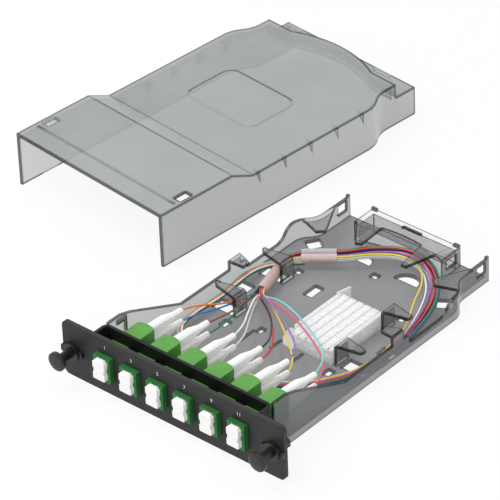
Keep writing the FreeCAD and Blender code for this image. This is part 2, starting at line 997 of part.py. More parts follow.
def lane_points(way, column, row, columns, rows):
    """Points of one lane beside the way's middle line."""
    places = []
    for index, (x, y, z, spread, gap) in enumerate(way):
        before = way[max(index - 1, 0)]
        after = way[min(index + 1, len(way) - 1)]
        along = point(after[0] - before[0], after[1] - before[1])
        along.normalize()
        across = column - (columns - 1) / 2
        shift = across * lane_pitch * spread
        if across:
            shift += math.copysign(gap / 2, across)
        lift = ((rows - 1) / 2 - row) * lane_pitch
        places.append(point(x + along.y * shift, y - along.x * shift, z + lift))
    return places


def fibre_points(name):
    """Whole route of one fibre, from its boot's tip to its end."""
    column, row, lead, back = fibres[name]
    number, level = name.split("_")[1:]
    start = boot_tip(int(number) - 1, level)
    route = [start] + [point(*place) for place in lead]
    route += lane_points(bundle_way, column, row, lane_columns, lane_rows)
    if back is not None:
        route += lane_points(return_way, back[0], back[1], 3, 2)
    return route


def route_edges(places):
    """Straight runs joined by tangent arcs, and the least radius among them."""
    edges = []
    start = places[0]
    least = 1000.0
    for before, corner, after in zip(places, places[1:], places[2:]):
        back = before - corner
        ahead = after - corner
        reach = 0.45 * min(back.Length, ahead.Length)
        half_turn = (math.pi - back.getAngle(ahead)) / 2
        back.normalize()
        ahead.normalize()
        arc_start = corner + back * reach
        arc_end = corner + ahead * reach
        bisector = back + ahead
        bisector.normalize()
        radius = reach / math.tan(half_turn)
        least = min(least, radius)
        arc_middle = corner + bisector * (math.hypot(reach, radius) - radius)
        edges.append(Part.makeLine(start, arc_start))
        edges.append(Part.Arc(arc_start, arc_middle, arc_end).toShape())
        start = arc_end
    edges.append(Part.makeLine(start, places[-1]))
    return edges, least


def side_directions(direction):
    """Two directions across the given one, the first level."""
    level = point(direction.y, -direction.x, 0)
    level.normalize()
    up = level.cross(direction)
    up.normalize()
    return level, up


def many_sided(centre, direction, radius, sides):
    """Corners of a many-sided ring across a direction, with the area of a circle of that radius."""
    level, up = side_directions(direction)
    full = math.sqrt(2 * math.pi / (sides * math.sin(2 * math.pi / sides)))
    corners = []
    for index in range(sides):
        angle = 2 * math.pi * (index + 0.5) / sides
        corners.append(
            centre + level * (radius * full * math.cos(angle)) + up * (radius * full * math.sin(angle))
        )
    return corners


def carried(edges, radius, sides):
    """Solid made by carrying a many-sided section along straight runs and tangent arcs."""
    start = edges[0].valueAt(edges[0].FirstParameter)
    direction = edges[0].tangentAt(edges[0].FirstParameter)
    ring = many_sided(start, direction, radius, sides)
    faces = [Part.Face(Part.makePolygon(ring + ring[:1]))]
    for edge in edges:
        sides = [Part.makeLine(a, b) for a, b in zip(ring, ring[1:] + ring[:1])]
        if isinstance(edge.Curve, Part.Circle):
            circle = edge.Curve
            turn = math.degrees(edge.LastParameter - edge.FirstParameter)
            faces += [side.revolve(circle.Center, circle.Axis, turn) for side in sides]
            spin = FreeCAD.Rotation(circle.Axis, turn)
            ring = [circle.Center + spin.multVec(corner - circle.Center) for corner in ring]
        else:
            ends = edge.Vertexes
            run = ends[1].Point - ends[0].Point
            faces += [side.extrude(run) for side in sides]
            ring = [corner + run for corner in ring]
    faces.append(Part.Face(Part.makePolygon(ring + ring[:1])))
    shell = Part.makeShell(faces)
    shell.sewShape()
    solid = Part.makeSolid(shell)
    if solid.Volume < 0:
        solid.reverse()
    return solid


def fibre(name):
    """Plain cord along the fibre's route."""
    edges, least = route_edges(fibre_points(name))
    solid = carried(edges, fibre_diameter / 2, fibre_sides)
    length = sum(edge.Length for edge in edges)
    expected = math.pi * fibre_diameter**2 / 4 * length
    print(
        f"{name}: length {length:.0f}, least radius {least:.1f},"
        f" volume {solid.Volume:.0f} of {expected:.0f}"
    )
    return solid


def stretch(edges, begin, end):
    """The part of a chain of edges between two lengths along it."""
    kept = []
    passed = 0.0
    for edge in edges:
        low = max(begin - passed, 0.0)
        high = min(end - passed, edge.Length)
        if high - low > 0.001:
            first = edge.getParameterByLength(low)
            last = edge.getParameterByLength(high)
            kept.append(edge.Curve.toShape(first, last))
        passed += edge.Length
    return kept


def sleeve(name):
    """Thin tube that follows one lane of the bundle and holds the fibres inside it."""
    column, row, columns, begin, end = sleeves[name]
    places = lane_points(bundle_way, column, row, lane_columns, lane_rows)
    edges, least = route_edges(places)
    edges = stretch(edges, begin, end)
    half_x = (columns - 1) / 2 * lane_pitch
    half_z = (lane_rows - 1) / 2 * lane_pitch
    inner = math.hypot(half_x, half_z) + fibre_diameter / 2 + sleeve_gap
    outside = carried(edges, inner + sleeve_wall, sleeve_sides)
    return outside.cut(carried(edges, inner, sleeve_sides))


def grommet(way):
    """Flanged bush with two wings in front of the panel and split fingers behind it."""
    x = way * fastener_spacing / 2
    z = half_panel_height
    rear = panel_thickness + grommet_finger_length
    flange = rod(grommet_flange_radius, x, z, -grommet_flange_thickness, 0)
    wings = block(
        x - grommet_wing_reach,
        x + grommet_wing_reach,
        -grommet_flange_thickness * 0.6,
        0,
        z - grommet_wing_height / 2,
        z + grommet_wing_height / 2,
    )
    wings = wings.common(rod(grommet_wing_reach, x, z, -grommet_flange_thickness, 0))
    neck = rod(grommet_neck_radius, x, z, 0, panel_thickness)
    fingers = rod(grommet_finger_radius, x, z, panel_thickness, rear)
    bore = rod(plunger_radius + plunger_fit, x, z, -grommet_flange_thickness - 1, rear + 1)
    half_slit = grommet_slit / 2
    slits = [
        block(x - 6, x + 6, panel_thickness, rear + 1, z - half_slit, z + half_slit),
        block(x - half_slit, x + half_slit, panel_thickness, rear + 1, z - 6, z + 6),
    ]
    return flange.fuse([wings, neck, fingers]).cut([bore] + slits)


def plunger(way):
    """Push pin, pulled out by its travel, with a domed head and a tapered tip."""
    x = way * fastener_spacing / 2
    z = half_panel_height
    head_back = -grommet_flange_thickness - plunger_pulled
    head_front = head_back - plunger_head_thickness
    profile = [
        point(0, head_front),
        point(plunger_head_radius * 0.75, head_front + plunger_dome * 0.3),
        point(plunger_head_radius, head_front + plunger_dome),
        point(plunger_head_radius, head_back),
        point(plunger_radius, head_back),
        point(plunger_radius, plunger_tip - plunger_taper_length),
        point(plunger_radius - plunger_taper_depth, plunger_tip),
        point(0, plunger_tip),
    ]
    face = Part.Face(Part.makePolygon(profile + profile[:1]))
    turned = face.revolve(point(0, 0), point(0, 1), 360)
    turned.translate(point(x, 0, z))
    return turned


def cover_outline(inset, overrun):
    wide = cover_half_width - inset
    tail = cover_tail_half_width - inset
    rear = cover_length + overrun
    return [
        (-overrun, wide),
        (cover_bend_start, wide),
        ("bend", cover_bend_end, tail),
        (rear, tail),
        (rear, -tail),
        (cover_bend_end, -tail),
        ("bend", cover_bend_start, -wide),
        (-overrun, -wide),
    ]


def cover_solid(inset, overrun):
    """Outside of the cover, or its hollow where inset is the wall."""
    raised = cover_raised - inset
    top = cover_top - inset
    body = plan_prism(cover_outline(inset, overrun), -overrun, cover_raised)
    heights = side_prism(
        [
            (-overrun, -overrun),
            (cover_length + overrun, -overrun),
            (cover_length + overrun, top),
            (cover_top_start, top),
            (cover_raised_end, raised),
            (-overrun, raised),
        ],
        cover_half_width + 1,
    )
    body = body.common(heights)
    reach = cover_half_width + 1
    behind = plan_prism(
        [
            (cover_ledge_side_y - inset, -reach),
            (cover_ledge_side_y - inset, -cover_ledge_straight_x),
            (
                "arc",
                cover_ledge_middle_y - inset,
                0,
                cover_ledge_side_y - inset,
                cover_ledge_straight_x,
            ),
            (cover_ledge_side_y - inset, reach),
            (cover_length + 2, reach),
            (cover_length + 2, -reach),
        ],
        cover_ledge - inset,
        cover_raised + 1,
    )
    return body.cut(behind)


def cover():
    """Cap moulded in one piece: raised front, ramp, flat top, ledge at the rear, open beneath."""
    shell = cover_solid(0, 0).cut(cover_solid(cover_wall, 1))
    inner = cover_half_width - cover_wall
    under = cover_top - cover_wall
    additions = []
    for index in range(cover_rib_count):
        y = cover_rib_first_y + index * cover_rib_pitch
        rib = section_prism(
            [
                (inner + root, under + root),
                (inner - cover_rib_reach, under + root),
                (inner - cover_rib_reach, under - cover_rib_edge),
                (inner - cover_rib_edge, under - cover_rib_leg),
                (inner + root, under - cover_rib_leg),
            ],
            y,
            y + cover_rib_thickness,
        )
        additions += both_sides(rib)
    pad = block(
        cover_pad_x - cover_pad_width / 2,
        cover_pad_x + cover_pad_width / 2,
        cover_pad_y - cover_pad_length / 2,
        cover_pad_y + cover_pad_length / 2,
        cover_top - cover_wall / 2,
        cover_top + cover_pad_height,
    )
    pad = pad.makeFillet(cover_pad_corner, [e for e in pad.Edges if is_along(e, "z")])
    additions.append(pad)
    window_end = cover_half_width - cover_window_side
    window_start = window_end - cover_window_width
    front_top = cover_raised + past
    windows = both_sides(
        block(
            window_start,
            window_end,
            cover_window_start,
            cover_window_end,
            cover_raised - 2 * cover_wall,
            front_top,
        )
    )
    slot_end = cover_length - cover_slot_behind
    slots = [
        block(
            x,
            x + cover_slot_length,
            slot_end - cover_slot_width,
            slot_end,
            cover_ledge - 2 * cover_wall,
            cover_ledge + past,
        )
        for x in cover_slot_starts
    ]
    line_half = cover_half_width - cover_line_end
    line_rear = cover_line_y + cover_line_width
    line_low = cover_raised - cover_line_depth
    line = block(-line_half, line_half, cover_line_y, line_rear, line_low, front_top)
    whole = shell.fuse(additions).cut(windows + slots + [line]).removeSplitter()
    whole.rotate(point(0, 0), point(0, 0, 1), cover_turn)
    whole.translate(point(cover_place_x, cover_place_y))
    return whole


def place(shape):
    """Move a piece so that the middle of the panel's rear face is the origin."""
    moved = shape.copy()
    moved.translate(point(0, -panel_thickness, -half_panel_height))
    return moved


def pieces():
    yield "front_panel", front_panel()
    yield "bulkhead_frame", bulkhead_frame()
    yield "tray", tray()
    yield "cover", cover()
    yield "splice_holder", splice_holder()
    for index in range(adapter_count):
        number = index + 1
        yield f"adapter_{number}", adapter(index)
        yield f"dust_cap_{number}", dust_cap(index)
        for row in port_offsets:
            yield f"connector_{number}_{row}", connector(index, row)
    for name in fibres:
        yield name, fibre(name)
    for name in sleeves:
        yield name, sleeve(name)
    for name, way in (("left", -1), ("right", 1)):
        yield f"grommet_{name}", grommet(way)
        yield f"plunger_{name}", plunger(way)


def main():
    os.makedirs("parts", exist_ok=True)
    for name, shape in pieces():
        place(shape).exportStep(f"parts/{name}.step")


main()
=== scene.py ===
import math

import bmesh
import bpy
from bpy.props import FloatProperty, FloatVectorProperty, IntProperty, PointerProperty, StringProperty
from mathutils import Matrix, Vector
from mathutils.bvhtree import BVHTree


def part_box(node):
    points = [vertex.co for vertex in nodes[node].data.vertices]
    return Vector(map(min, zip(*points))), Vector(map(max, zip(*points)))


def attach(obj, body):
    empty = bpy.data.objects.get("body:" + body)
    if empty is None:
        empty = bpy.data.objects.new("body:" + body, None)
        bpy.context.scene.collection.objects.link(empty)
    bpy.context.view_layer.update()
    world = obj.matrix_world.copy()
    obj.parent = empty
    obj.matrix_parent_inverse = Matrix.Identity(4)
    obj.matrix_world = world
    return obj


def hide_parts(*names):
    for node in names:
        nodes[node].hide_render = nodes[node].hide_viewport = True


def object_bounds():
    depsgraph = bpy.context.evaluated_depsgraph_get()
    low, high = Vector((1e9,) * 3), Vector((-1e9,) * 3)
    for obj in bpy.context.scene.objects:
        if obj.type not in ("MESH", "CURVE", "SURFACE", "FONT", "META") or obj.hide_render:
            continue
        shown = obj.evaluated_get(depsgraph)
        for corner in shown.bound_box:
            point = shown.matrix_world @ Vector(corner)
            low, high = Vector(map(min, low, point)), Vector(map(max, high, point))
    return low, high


bl_info = {
    "name": "Fibre Cassette",
    "version": (1, 0, 0),
    "blender": (4, 5, 0),
    "location": "View3D > Sidebar > Fibre Cassette",
    "description": "Dresses a fibre cassette: smoked tray and cover, adapters, fibres and stage",
    "category": "Object",
}

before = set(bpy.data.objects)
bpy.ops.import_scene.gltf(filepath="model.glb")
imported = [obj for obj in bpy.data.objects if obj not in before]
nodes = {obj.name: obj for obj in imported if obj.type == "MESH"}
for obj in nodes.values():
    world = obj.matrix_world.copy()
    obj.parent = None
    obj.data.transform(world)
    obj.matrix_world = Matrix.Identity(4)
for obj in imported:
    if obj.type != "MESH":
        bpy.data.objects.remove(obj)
cad_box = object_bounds()

ROOT = "tray_assembly"
MM = 0.001

# Places on the cassette, in millimetres from the panel's front face and the tray's underside
PANEL_THICKNESS = 2.0
HALF_PANEL_HEIGHT = 14.5
PORTS = 6
PORT_STEP = 15.7
FLOOR_LIMIT = 2.3
REAR_BOX_START = 163.0

# The camera, worked out from the picture's edges, in degrees, metres and millimetres of lens
CAMERA_AZIMUTH = 41.954
CAMERA_ELEVATION = 34.885
CAMERA_ROLL = -2.336
CAMERA_PLACE = (0.976095, -1.032522, 1.067358)
CAMERA_LENS = 291.16
CAMERA_SENSOR = 36.0

# Where the round lamps hang and how wide they are, and the half width of the floor, in metres
KEY_LAMP = ((-0.7, -0.3, 1.5), 1.1)
FILL_LAMP = ((0.85, -0.95, 0.55), 0.9)
FLOOR_HALF_WIDTH = 4.0
FLOOR_GAP = 0.05 * MM

# How near a CAD node's points are merged, in metres, and up to which angle an edge is shaded
# smooth, in radians
MERGE_DISTANCE = 1e-6
MOULDING_BEND = 0.33
SLEEVE_BEND = 1.1

# How the narrow edges of a sheet are found: from just under the skin, in several directions
UNDER_SKIN = 0.3 * MM
EDGE_DIRECTIONS = 8

# How much each kind of face hides what lies behind it, how much an edge does, and how far a level
# face's normal points up at least
# The tray's floor and the outer faces hide more than the inner faces: painted shade, for the shadow
# under the tray and cover that the white floor does not show through them.
VEILS = {
    "tray": {"floor": 0.85, "raised": 0.55, "rear box": 0.12, "outside": 0.8, "inside": 0.55},
    "cover": {"floor": 0.9, "raised": 0.9, "rear box": 0.9, "outside": 0.7, "inside": 0.5},
}
EDGE_VEIL = 0.9
LEVEL_FACE = 0.7

# Cosine of the bend, between a face and its softened normal, where a fold's dark line starts and
# where it is full
FOLD_START = 0.9992
FOLD_FULL = 0.988

# The cover lies turned and apart from the tray. Where light comes along it its lines are faint,
# and across its first fold they are strong: middle and half size of each such place, how it
# changes the line, and by how much inside and outside. The change is full up to a share of the
# half size
COVER_PLACE = (-134.34, 92.83)
COVER_TURN = math.radians(-5.63)
COVER_LINES = [
    ((-2.0, 84.7), (30.0, 3.0), "MULTIPLY", (0.12, 1.0)),
    ((21.0, 101.0), (3.0, 19.0), "MULTIPLY", (0.12, 1.0)),
    ((0.0, 11.3), (48.0, 2.2), "MULTIPLY", (0.4, 1.0)),
    ((-46.3, 18.1), (3.8, 5.2), "MULTIPLY", (0.5, 1.0)),
    ((23.0, 172.3), (6.4, 2.2), "MULTIPLY", (0.3, 1.0)),
    ((-38.0, 172.3), (6.4, 2.2), "MULTIPLY", (0.3, 1.0)),
    ((0.0, 46.0), (50.0, 0.7), "MAXIMUM", (0.75, 0.0)),
]
FULL_SHARE = 0.85
ANY_HEIGHT = 1e6

# The ways of the bundle and of the fibres that return, point by point: x, y, z, how far the lanes
# are spread, and the gap between the two halves
BUNDLE_WAY = [
    (-28.9, 91.8, 6.8, 1.0, 0.0),
    (-31.4, 101.0, 6.4, 1.0, 0.0),
    (-36.3, 119.6, 6.4, 1.0, 0.0),
    (-33.2, 126.3, 7.2, 1.0, 2.2),
    (-20.6, 136.2, 7.4, 1.0, 2.2),
    (-17.3, 138.6, 7.3, 1.0, 2.2),
    (-6.5, 149.2, 8.4, 1.7, 1.0),
    (6.0, 156.2, 9.0, 2.1, 0.4),
    (20.0, 154.6, 8.8, 2.1, 0.4),
    (31.0, 146.0, 7.6, 2.0, 0.3),
    (38.5, 132.5, 6.6, 1.9, 0.2),
    (43.8, 113.0, 5.6, 1.2, 0.0),
    (45.4, 95.0, 5.3, 0.8, 0.0),
    (45.2, 80.0, 5.1, 0.8, 0.0),
    (40.6, 64.5, 5.0, 1.1, 0.0),
    (27.0, 47.5, 4.6, 1.1, 0.0),
    (3.0, 41.4, 4.2, 1.0, 0.0),
    (-14.0, 41.6, 4.2, 1.0, 0.0),
]
RETURN_WAY = [
    (-30.0, 43.2, 4.6, 1.0, 0.0),
    (-42.2, 50.5, 5.4, 1.0, 0.0),
    (-43.8, 64.0, 6.0, 1.0, 0.0),
    (-41.5, 79.0, 6.4, 1.1, 0.0),
    (-43.4, 93.0, 6.6, 1.2, 0.0),
    (-44.6, 107.0, 5.6, 1.2, 0.0),
    (-40.9, 119.5, 3.7, 1.0, 0.0),
    (-31.5, 128.0, 3.4, 1.0, 0.0),
]

# The lanes of the bundle and of the return in columns and rows, and where the boots' tips are:
# how far they lean to the right of their ports, how far back they reach, and their rows' heights
LANE_PITCH = 1.0
BUNDLE_LANES = (4, 3)
RETURN_LANES = (3, 2)
BOOT_LEAN = 1.3
BOOT_END = 49.5
ROW_HEIGHT = {"upper": 17.625, "lower": 11.375}

# How single fibres stray from their lanes, by the point of the bundle's way
STRAY = {
    "fibre_4_lower": {6: (0.0, 0.4, 0.5), 7: (0.0, 0.3, 0.7), 8: (0.0, 0.0, 0.6), 9: (0.3, 0.3, 0.5)},
    "fibre_6_lower": {7: (0.0, 0.6, 1.3), 8: (0.4, 0.6, 1.3), 9: (0.4, 0.4, 0.9), 10: (0.2, 0.1, 0.3)},
    "fibre_5_lower": {9: (-1.5, -1.5, 0.0), 10: (-3.8, -2.0, 0.2), 11: (-0.8, 0.0, 0.4)},
}

# Each fibre: colour, lane in the bundle, points between boot and bundle, lane in the return
FIBRES = {
    "fibre_1_upper": ("orange", (1, 2), [(-38.0, 58.0, 15.6), (-32.5, 70.0, 11.6)], (1, 0)),
    "fibre_1_lower": ("blue", (0, 1), [(-38.2, 57.5, 10.6), (-33.0, 69.0, 9.4)], (0, 1)),
    "fibre_2_upper": ("brown", (0, 2), [(-22.4, 58.5, 15.4), (-26.2, 75.5, 9.8)], None),
    "fibre_2_lower": ("green", (0, 0), [(-22.4, 58.0, 10.4), (-26.6, 75.0, 7.8)], (2, 1)),
    "fibre_3_upper": (
        "white", (3, 1), [(-8.5, 58.0, 16.8), (-15.5, 69.0, 14.4), (-24.5, 84.5, 11.0)], (2, 0)
    ),
    "fibre_3_lower": (
        "pale_grey", (3, 2), [(-8.0, 58.0, 11.0), (-15.5, 70.0, 10.4), (-23.5, 84.0, 9.0)], None
    ),
    "fibre_4_upper": (
        "black", (1, 1), [(8.4, 56.0, 17.2), (3.2, 64.0, 15.4), (-9.0, 78.0, 11.8)], None
    ),
    "fibre_4_lower": (
        "red", (1, 0), [(9.0, 56.0, 11.6), (3.4, 65.0, 10.6), (-10.0, 79.0, 9.2)], None
    ),
    "fibre_5_upper": (
        "violet",
        (2, 0),
        [(23.4, 56.0, 17.4), (17.0, 64.0, 16.4), (4.5, 72.8, 14.6), (-15.5, 85.5, 11.0)],
        None,
    ),
    "fibre_5_lower": (
        "yellow",
        (3, 0),
        [(22.5, 56.5, 11.6), (12.5, 65.5, 10.8), (-3.5, 78.0, 10.2), (-18.0, 87.5, 9.0)],
        (1, 1),
    ),
    "fibre_6_upper": (
        "aqua",
        (2, 2),
        [(38.2, 57.4, 17.4), (33.0, 64.4, 16.8), (21.0, 73.6, 16.2), (-10.5, 88.6, 13.2)],
        (0, 0),
    ),
    "fibre_6_lower": (
        "rose",
        (2, 1),
        [(38.4, 57.5, 12.2), (31.5, 65.8, 13.4), (18.0, 73.5, 13.8), (0.0, 82.5, 12.6)],
        None,
    ),
}

# The jackets' colours
JACKETS = {
    "orange": "#F0853C",
    "blue": "#3F86D8",
    "brown": "#8A4A34",
    "green": "#1F7F6C",
    "white": "#F4F6F4",
    "pale_grey": "#D6DCDD",
    "black": "#1E1C1F",
    "red": "#D5393C",
    "violet": "#8F74B8",
    "yellow": "#F2D23A",
    "aqua": "#8FD3D6",
    "rose": "#E8607C",
}

# The sleeves: colour, and how much their film hides where it faces the eye
SLEEVES = {
    "bundle_sleeve": ("#E4CBC6", 0.4),
    "rear_sleeve_outer": ("#D6D2D6", 0.5),
    "rear_sleeve_inner": ("#EBD3CF", 0.6),
}

# The numerals above the ports, in millimetres, and how high a figure is in its font's size
NUMERAL_LEVEL = 24.6
INK_DEPTH = 0.02
FIGURE_SHARE = 0.7

# The row of pips on the splice holder's ear, in millimetres: from the holder's right rear corner
# to the first one, the height, the step and the depth
PIP_INSET = (19.5, 44.1)
PIP_LEVEL = 10.02
PIP_STEP = 4.333
PIP_DEPTH = 0.1
PIP_SIDES = 12


class CassetteSizes(bpy.types.PropertyGroup):
    fibre_width: FloatProperty(
        name="Fibre width", description="Diameter of each fibre's jacket", default=0.9 * MM,
        min=0.2 * MM, max=3 * MM, unit="LENGTH",
    )
    thin_face: FloatProperty(
        name="Thin face", description="Faces narrower than this are edges of a moulding",
        default=2.1 * MM, min=0.5 * MM, max=10 * MM, unit="LENGTH",
    )
    soft_edge: FloatProperty(
        name="Soft edge", description="Radius that moulded edges seem to have", default=0.25 * MM,
        min=0, max=2 * MM, unit="LENGTH",
    )
    fold_line: FloatProperty(
        name="Fold line", description="Reach of the dark line beside each fold of the tray",
        default=1.2 * MM, min=0, max=3 * MM, unit="LENGTH",
    )
    cover_line: FloatProperty(
        name="Cover line", description="Reach of the dark line beside each fold of the cover",
        default=1.9 * MM, min=0, max=3 * MM, unit="LENGTH",
    )
    numeral_height: FloatProperty(
        name="Numeral height", description="Size of the port numerals", default=1.9 * MM,
        min=0.5 * MM, max=5 * MM, unit="LENGTH",
    )
    pip_radius: FloatProperty(
        name="Pip radius", description="Radius of the moulded pips on the splice holder",
        default=0.4 * MM, min=0.1 * MM, max=2 * MM, unit="LENGTH",
    )
    pip_count: IntProperty(
        name="Pips", description="How many pips stand in the row", default=5, min=1, max=12
    )


class CassetteColours(bpy.types.PropertyGroup):
    smoke: StringProperty(
        name="Smoked tray", description="Colour of the tray", default="#6F7173"
    )
    smoke_cover: StringProperty(
        name="Smoked cover", description="Colour of the cover", default="#969A9B"
    )
    smoke_edge: StringProperty(
        name="Smoked edge", description="Colour where light runs along the sheet", default="#1C1E20"
    )
    panel: StringProperty(
        name="Panel", description="Colour of the panel's coating", default="#282728"
    )
    green: StringProperty(
        name="Adapters", description="Colour of the adapters", default="#569C3E"
    )
    white: StringProperty(
        name="Caps and boots", description="Colour of dust caps and connectors", default="#FAFAF9"
    )


class CassetteStage(bpy.types.PropertyGroup):
    key_light: FloatProperty(
        name="Key light", description="Power of the large lamp", default=18, min=0, subtype="POWER"
    )
    fill_light: FloatProperty(
        name="Fill light", description="Power of the low lamp", default=3.5, min=0, subtype="POWER"
    )
    sky: FloatProperty(
        name="Sky", description="Strength of the light from all around", default=0.55, min=0
    )
    target: FloatVectorProperty(
        name="Target", description="Point that the lamps are turned to", subtype="TRANSLATION",
        default=(-0.03, 0.10, 0.0),
    )


def place(x, y, z):
    """A point in millimetres, from the panel's front face and the tray's underside, in metres."""
    return Vector((x, y - PANEL_THICKNESS, z - HALF_PANEL_HEIGHT)) * MM


def linear(colour):
    """An sRGB hex value as the linear red, green, blue and alpha that shaders take."""
    parts = [int(colour[i : i + 2], 16) / 255 for i in (1, 3, 5)]
    return tuple(c / 12.92 if c <= 0.04045 else ((c + 0.055) / 1.055) ** 2.4 for c in parts) + (1,)


def add(tree, kind, inputs=None, **settings):
    """Adds one node, sets it, and gives each of its inputs a value or a link."""
    node = tree.nodes.new(kind)
    for name, value in settings.items():
        setattr(node, name, value)
    for name, value in (inputs or {}).items():
        if isinstance(value, bpy.types.NodeSocket):
            tree.links.new(value, node.inputs[name])
        else:
            node.inputs[name].default_value = value
    return node


def tone(colour, by):
    """The same sRGB hex colour, lighter or darker by some steps."""
    parts = [min(max(int(colour[i : i + 2], 16) + by, 0), 255) for i in (1, 3, 5)]
    return "#" + "".join(f"{part:02X}" for part in parts)


def new_material(name):
    material = bpy.data.materials.new(name)
    material.use_nodes = True
    material.node_tree.nodes.clear()
    return material, material.node_tree


def finish_material(tree, shader):
    add(tree, "ShaderNodeOutputMaterial", {"Surface": shader.outputs[0]})


def mottled(tree, low, high, size, detail=3.0):
    """A value between low and high that changes over about that size, in metres."""
    spot = add(tree, "ShaderNodeTexCoord").outputs["Object"]
    noise = add(
        tree, "ShaderNodeTexNoise", {"Vector": spot, "Scale": 1 / size, "Detail": detail}
    )
    spread = add(
        tree,
        "ShaderNodeMapRange",
        {
            "Value": noise.outputs["Fac"],
            "From Min": 0.3,
            "From Max": 0.7,
            "To Min": low,
            "To Max": high,
        },
    )
    return spread.outputs["Result"]


def shaded(tree, dark, light, size, detail=3.0):
    """A colour that wanders between two near ones, as pigment does in a moulding."""
    factor = mottled(tree, 0.0, 1.0, size, detail)
    mix = add(
        tree,
        "ShaderNodeMix",
        {"Factor": factor, "A": linear(dark), "B": linear(light)},
        data_type="RGBA",
    )
    return mix.outputs["Result"]


def grain(tree, size, strength, soft_edge):
    """Normal with a fine grain, on edges that seem slightly rounded."""
    edge = add(tree, "ShaderNodeBevel", {"Radius": soft_edge}, samples=4)
    height = mottled(tree, 0.0, 1.0, size, 2.0)
    bump = add(
        tree,
        "ShaderNodeBump",
        {"Height": height, "Strength": strength, "Distance": 0.05 * MM, "Normal": edge.outputs[0]},
    )
    return bump.outputs["Normal"]


def depth_share(tree, start, end):
    """0 up to one depth behind the panel's front face, 1 from the other on, in millimetres."""
    spot = add(tree, "ShaderNodeTexCoord").outputs["Object"]
    share = add(
        tree,
        "ShaderNodeMapRange",
        {
            "Value": add(tree, "ShaderNodeSeparateXYZ", {0: spot}).outputs["Y"],
            "From Min": place(0, start, 0).y,
            "From Max": place(0, end, 0).y,
        },
    )
    return share.outputs["Result"]


def redrawn(tree, line, places):
    """The line's strength, changed in rectangles that lie in the cover's own directions."""
    turned = add(
        tree,
        "ShaderNodeMapping",
        {
            "Vector": add(tree, "ShaderNodeTexCoord").outputs["Object"],
            "Location": place(*COVER_PLACE, HALF_PANEL_HEIGHT),
            "Rotation": (0, 0, COVER_TURN),
        },
        vector_type="TEXTURE",
    ).outputs[0]
    for middle, half, change, (inside, outside) in places:
        offset = add(
            tree,
            "ShaderNodeVectorMath",
            {0: turned, 1: Vector((*middle, 0)) * MM},
            operation="SUBTRACT",
        )
        share = add(
            tree,
            "ShaderNodeVectorMath",
            {0: offset.outputs[0], 1: Vector((*half, ANY_HEIGHT)) * MM},
            operation="DIVIDE",
        )
        reach = add(tree, "ShaderNodeVectorMath", {0: share.outputs[0]}, operation="ABSOLUTE")
        sides = add(tree, "ShaderNodeSeparateXYZ", {0: reach.outputs[0]}).outputs
        far = add(tree, "ShaderNodeMath", {0: sides["X"], 1: sides["Y"]}, operation="MAXIMUM")
        by = add(
            tree,
            "ShaderNodeMapRange",
            {
                "Value": far.outputs[0],
                "From Min": FULL_SHARE,
                "From Max": 1.0,
                "To Min": inside,
                "To Max": outside,
            },
        )
        line = add(
            tree, "ShaderNodeMath", {0: line, 1: by.outputs["Result"]}, operation=change
        ).outputs[0]
    return line


def dark_line(tree, reach, places):
    """1 on a sheet's narrow edges and beside its folds, where light runs along inside it."""
    soft = add(tree, "ShaderNodeBevel", {"Radius": reach}, samples=8).outputs[0]
    sharp = add(tree, "ShaderNodeNewGeometry").outputs["Normal"]
    bend = add(tree, "ShaderNodeVectorMath", {0: soft, 1: sharp}, operation="DOT_PRODUCT")
    fold = add(
        tree,
        "ShaderNodeMapRange",
        {"Value": bend.outputs["Value"], "From Min": FOLD_START, "From Max": FOLD_FULL},
    )
    narrow = add(tree, "ShaderNodeAttribute", attribute_name="rim").outputs["Fac"]
    line = add(
        tree,
        "ShaderNodeMath",
        {0: fold.outputs["Result"], 1: narrow},
        operation="MAXIMUM",
    )
    return redrawn(tree, line.outputs[0], places) if places else line.outputs[0]


def smoked_polycarbonate(name, body, edge_colour, reach, places):
    """Clear polycarbonate with a smoke tint, moulded in a polished tool: a sheet looks pale grey
    from the face, and is painted nearly black along its edges and folds, as painted shade where the eye
    looks through more of it. The veil is how much a face hides, and the side of a face that points
    inwards hides nothing.
    """
    material, tree = new_material(name)
    edge = dark_line(tree, reach, places)
    sheet = shaded(tree, tone(body, -4), tone(body, 4), 30 * MM)
    # Painted shade: the dark line mixes a near-black colour along edges and folds.
    colour = add(
        tree,
        "ShaderNodeMix",
        {"Factor": edge, "A": sheet, "B": linear(edge_colour)},
        data_type="RGBA",
    )
    veil = add(tree, "ShaderNodeAttribute", attribute_name="veil").outputs["Fac"]
    solid = add(
        tree, "ShaderNodeMix", {"Factor": edge, "A": veil, "B": EDGE_VEIL}, data_type="FLOAT"
    )
    behind = add(tree, "ShaderNodeNewGeometry").outputs["Backfacing"]
    alpha = add(
        tree,
        "ShaderNodeMapRange",
        {"Value": behind, "To Min": solid.outputs["Result"], "To Max": 0.0},
    )
    shader = add(
        tree,
        "ShaderNodeBsdfPrincipled",
        {
            "Base Color": colour.outputs["Result"],
            "Alpha": alpha.outputs["Result"],
            "Roughness": mottled(tree, 0.14, 0.24, 12 * MM),
            "IOR": 1.58,
            "Specular IOR Level": 0.2,
        },
    )
    finish_material(tree, shader)
    return material


